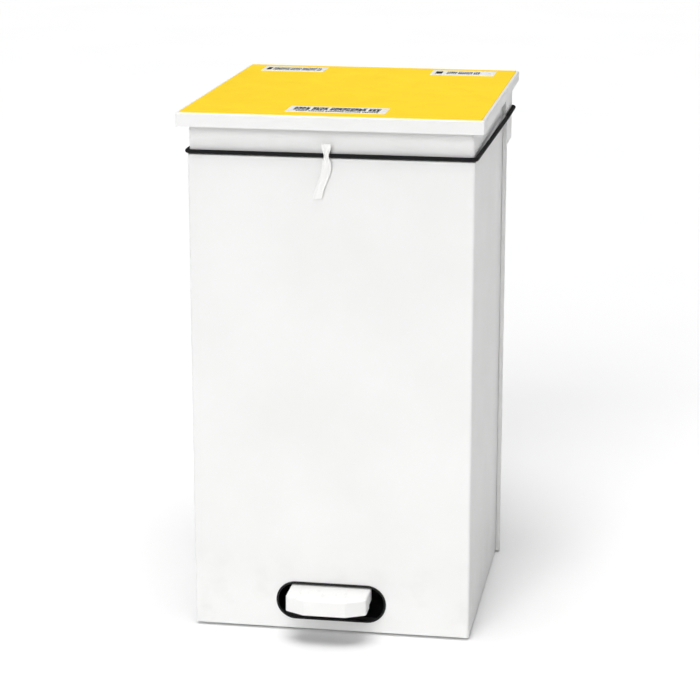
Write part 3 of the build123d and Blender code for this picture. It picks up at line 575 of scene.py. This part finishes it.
def strap_loop():
    """The part of the tape that goes round the band and is drawn tight behind it."""
    count, wide = 48, 12
    rows = []
    for i in range(count):
        angle = 2 * math.pi * i / count
        row = []
        for j in range(wide + 1):
            across = j / wide - 0.5
            gather = 0.25 * MM * math.cos(across * 6 * math.pi)
            reach = BAND_RADIUS + 0.55 * MM + gather * 0.5
            fuller = 1.12 if math.cos(angle) > 0 else 1.0     # in front, where the tape is folded
            row.append(Vector((
                STRAP_X + across * STRAP_LOOP_WIDTH,
                BAND_Y - reach * math.cos(angle) * fuller,
                BAND_Z + reach * math.sin(angle),
            )))
        rows.append(row)
    mesh = strip_mesh("strap_loop", rows, closed_along=True)
    thicken(finish_piece(mesh, "pull_strap_loop", "frame", "strap", ["pull_tab"]), LOOP_THICKNESS)


pull_strap()
strap_loop()


# ---------- labels: film with rows of plain printed blocks that stand for wording
PRINT_CELL = 0.8 * MM


def printed_line(columns, stroke, chance):
    """Five rows of inked cells for one line. Letters are three strokes wide, grouped like words."""
    cells = [[False] * columns for _ in range(5)]
    column = 0
    while column + 3 * stroke <= columns:
        for _ in range(chance.randint(4, 9)):
            if column + 3 * stroke > columns:
                break
            middle_gap, right_gap = chance.randrange(5), chance.randrange(7)
            for row in range(5):
                inked = (True, row != middle_gap, row != right_gap)
                for part in range(3 * stroke):
                    cells[row][column + part] = inked[part // stroke]
            column += 3 * stroke + 1
        column += 2 * stroke
    return cells


def printed_label(name, node, lines, mark, seed):
    """A film the size of the CAD label. Each line is (low, high, from, to, stroke), in shares of the
    label's depth and width and in cells; the mark is a plain block over shares of the width."""
    low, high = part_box(node)
    chance = random.Random(seed)
    width, depth = high.x - low.x, high.y - low.y
    columns = round(width / PRINT_CELL)
    bands = []
    for start, end, text_from, text_to, stroke in lines:
        first = round(columns * text_from)
        cells = printed_line(round(columns * text_to) - first, stroke, chance)
        bands += [(start + (end - start) * row / 5, first, cells[row]) for row in range(5)]
        bands.append((end, 0, []))
    edges = [0.0] + [band[0] for band in bands] + [1.0]
    rows = [(0, [])] + [band[1:] for band in bands]
    xs = [low.x + width * i / columns for i in range(columns + 1)]
    ys = [low.y + depth * edge for edge in edges]
    mesh = bmesh.new()
    top = [[mesh.verts.new((x, y, high.z)) for x in xs] for y in ys]
    for row, (first, cells) in enumerate(rows):
        inside = lines[0][0] <= edges[row] and edges[row + 1] <= lines[-1][1] + 0.001
        for column in range(columns):
            face = mesh.faces.new((
                top[row][column], top[row][column + 1], top[row + 1][column + 1], top[row + 1][column],
            ))
            in_text = 0 <= column - first < len(cells) and cells[column - first]
            in_mark = inside and mark[0] <= column / columns < mark[1]
            face.material_index = 1 if in_text or in_mark else 0
    rim = [edge for edge in mesh.edges if edge.is_boundary]
    skirt = bmesh.ops.extrude_edge_only(mesh, edges=rim)["geom"]
    for vertex in [item for item in skirt if isinstance(item, bmesh.types.BMVert)]:
        vertex.co.z = low.z
    bottom = [item for item in skirt if isinstance(item, bmesh.types.BMEdge) and item.is_boundary]
    bmesh.ops.contextual_create(mesh, geom=bottom)
    made = mesh_data(name, mesh)
    made.materials.append(FINISHES["label_film"])
    made.materials.append(INK)
    return finish_piece(made, name, "lid", "label_film", [node])


NO_MARK = (0.0, 0.0)
front_lines = [(0.12, 0.3, 0.1, 0.93, 1), (0.36, 0.86, 0.06, 0.95, 2)]
printed_label("label_front_printed", "label_front", front_lines, NO_MARK, 3)
printed_label("label_rear_left_printed", "label_rear_left", [(0.24, 0.76, 0.16, 0.95, 1)], (0.05, 0.13), 5)
printed_label("label_rear_right_printed", "label_rear_right", [(0.24, 0.76, 0.24, 0.78, 1)], (0.06, 0.17), 8)


# ---------- screws: the CAD fasteners again, with a cross recess in each head
def separate_boxes(node):
    """The low and high corner of each separate solid in a node of the CAD."""
    mesh = frame["nodes"][node].data
    world = frame["nodes"][node].matrix_world
    links = list(range(len(mesh.vertices)))

    def root(i):
        while links[i] != i:
            links[i] = links[links[i]]
            i = links[i]
        return i

    places = {}
    for i, vertex in enumerate(mesh.vertices):
        key = tuple(round(value, 6) for value in vertex.co)
        links[i] = root(places.setdefault(key, i))
    for edge in mesh.edges:
        links[root(edge.vertices[0])] = root(edge.vertices[1])
    groups = {}
    for i, vertex in enumerate(mesh.vertices):
        groups.setdefault(root(i), []).append(world @ vertex.co)
    boxes = []
    for points in groups.values():
        low = Vector([min(point[k] for point in points) for k in range(3)])
        boxes.append((low, Vector([max(point[k] for point in points) for k in range(3)])))
    return boxes


# Rings of a screw head from its middle outwards: shares of its radius and of its depth.
HEAD_RINGS = [(0.12, 0.0), (0.34, 0.0), (0.52, 0.0), (0.74, 0.06), (0.9, 0.2), (1.0, 0.5), (1.0, 1.0)]
GROOVE_WIDTH, GROOVE_REACH, GROOVE_DEPTH = 0.3, 0.4, 0.55     # of the cross, in the same shares
CROSS_MIDDLE, CROSS_MIDDLE_DEPTH = 0.2, 0.6
SCREW_TIP = 0.4 * MM


def ring_angles(radius, groove):
    """Angles of one ring of a screw head, with three of each quarter on an arm of the cross."""
    half = math.asin(min(0.7, groove / 2 / radius))
    rest = math.pi / 2 - 2 * half
    quarter = [-half, 0.0, half, half + rest / 4, half + rest / 2, half + rest * 3 / 4]
    return [k * math.pi / 2 + angle for k in range(4) for angle in quarter]


def screws(node, body, name, head_depth, shank_radius, outward):
    """All screws of a node. outward is the way their heads face, along Y or Z."""
    outward = Vector(outward)
    across = Vector((1, 0, 0))
    other = outward.cross(across)
    axis = 1 if abs(outward.y) else 2
    positive = outward[axis] > 0
    mesh = bmesh.new()
    for low, high in separate_boxes(node):
        middle = (low + high) / 2
        radius = (high.x - low.x) / 2
        tip = middle.copy()
        tip[axis] = high[axis] if positive else low[axis]
        length = high[axis] - low[axis]
        groove = radius * GROOVE_WIDTH
        rings = []
        for share, drop in HEAD_RINGS:
            ring = []
            for k, angle in enumerate(ring_angles(radius * share, groove)):
                on_arm = k % 6 == 1
                sunk = head_depth * GROOVE_DEPTH if on_arm and share < GROOVE_REACH else 0.0
                if share < CROSS_MIDDLE:
                    sunk = head_depth * CROSS_MIDDLE_DEPTH
                point = tip - outward * (head_depth * drop + sunk)
                point += (across * math.cos(angle) + other * math.sin(angle)) * radius * share
                ring.append(mesh.verts.new(point))
            rings.append(ring)
        for depth in (head_depth, length - SCREW_TIP, length):
            reach = shank_radius if depth < length else shank_radius * 0.8
            ring = []
            for angle in ring_angles(radius, groove):
                point = tip - outward * depth + (across * math.cos(angle) + other * math.sin(angle)) * reach
                ring.append(mesh.verts.new(point))
            rings.append(ring)
        count = len(rings[0])
        for ring, following in zip(rings, rings[1:]):
            for k in range(count):
                mesh.faces.new((ring[k], following[k], following[(k + 1) % count], ring[(k + 1) % count]))
        mesh.faces.new(rings[0])
        mesh.faces.new(rings[-1])
    bmesh.ops.recalc_face_normals(mesh, faces=mesh.faces)
    finish_piece(mesh_data(name, mesh), name, body, "zinc_steel", [node])


REAR, DOWN = (0, 1, 0), (0, 0, -1)
SHANK = 2.0 * MM
screws("column_screws", "frame", "column_screws_recessed", 2.0 * MM, SHANK, REAR)
screws("rod_cover_screws", "frame", "rod_cover_screws_recessed", 2.0 * MM, SHANK, REAR)
screws("pedal_cap_screws", "pedal", "pedal_cap_screws_recessed", 2.0 * MM, SHANK, DOWN)
screws("hinge_arm_screws", "lid", "hinge_arm_screws_recessed", 1.8 * MM, SHANK, DOWN)


# ---------- studio: floor, lights and camera
def studio():
    """The floor and a faint white sky."""
    half = 30.0
    corners = [(-half, -half, 0), (half, -half, 0), (half, half, 0), (-half, half, 0)]
    mesh = bpy.data.meshes.new("floor")
    mesh.from_pydata(corners, [], [(0, 1, 2, 3)])
    mesh.materials.append(studio_floor())
    floor = bpy.data.objects.new("floor", mesh)
    bpy.context.scene.collection.objects.link(floor)
    world = bpy.data.worlds.new("studio")
    world.use_nodes = True
    sky = world.node_tree.nodes["Background"]
    sky.inputs["Color"].default_value = (1, 1, 1, 1)
    sky.inputs["Strength"].default_value = 0.06
    bpy.context.scene.world = world


def direction(azimuth, elevation):
    """The way from the bin to a far point. Azimuth 0 is in front and 90 on the right, in degrees."""
    around, above = math.radians(azimuth), math.radians(elevation)
    level = math.cos(above)
    return Vector((math.sin(around) * level, -math.cos(around) * level, math.sin(above)))


def far_light(name, azimuth, elevation, spread, strength):
    """An even, soft light from far away, spread over an angle in degrees."""
    data = bpy.data.lights.new(name, "SUN")
    data.angle = math.radians(spread)
    data.energy = strength
    light = bpy.data.objects.new(name, data)
    light.rotation_euler = direction(azimuth, elevation).to_track_quat("Z", "Y").to_euler()
    bpy.context.scene.collection.objects.link(light)


def side_light():
    """A weak panel high on the right, so that the bin's side is lighter at the top."""
    data = bpy.data.lights.new("side_panel", "AREA")
    data.size = 0.7
    data.energy = 0.8
    light = bpy.data.objects.new("side_panel", data)
    light.location = (1.0, -0.25, 1.3)
    aim = Vector((0.2, 0, 0.55)) - light.location
    light.rotation_euler = aim.to_track_quat("-Z", "Y").to_euler()
    bpy.context.scene.collection.objects.link(light)


def camera():
    """A long lens, a little right of the front and above it, aimed right of the bin's middle."""
    roll = math.radians(0.23)
    distance = 3.0552
    lens_widths = 3.142857              # the lens's length in widths of the picture
    target = Vector((76.95 * MM, FRONT, 454.77 * MM))
    back = direction(8.68, 14.58)
    level = (-back).cross(Vector((0, 0, 1))).normalized()
    upright = level.cross(-back)
    right = level * math.cos(roll) + upright * math.sin(roll)
    up = upright * math.cos(roll) - level * math.sin(roll)
    data = bpy.data.cameras.new("camera")
    data.sensor_width = 36.0
    data.lens = data.sensor_width * lens_widths
    data.shift_x, data.shift_y = -0.05, -0.0286
    eye = bpy.data.objects.new("camera", data)
    turn = Matrix((right, up, back)).transposed()
    eye.matrix_world = Matrix.Translation(target + back * distance) @ turn.to_4x4()
    bpy.context.scene.collection.objects.link(eye)
    bpy.context.scene.camera = eye


studio()
far_light("key_front", -9, 28, 34, 1.66)
far_light("overhead", -10, 85, 44, 2.72)
side_light()
camera()
bpy.context.scene.view_settings.view_transform = "Standard"
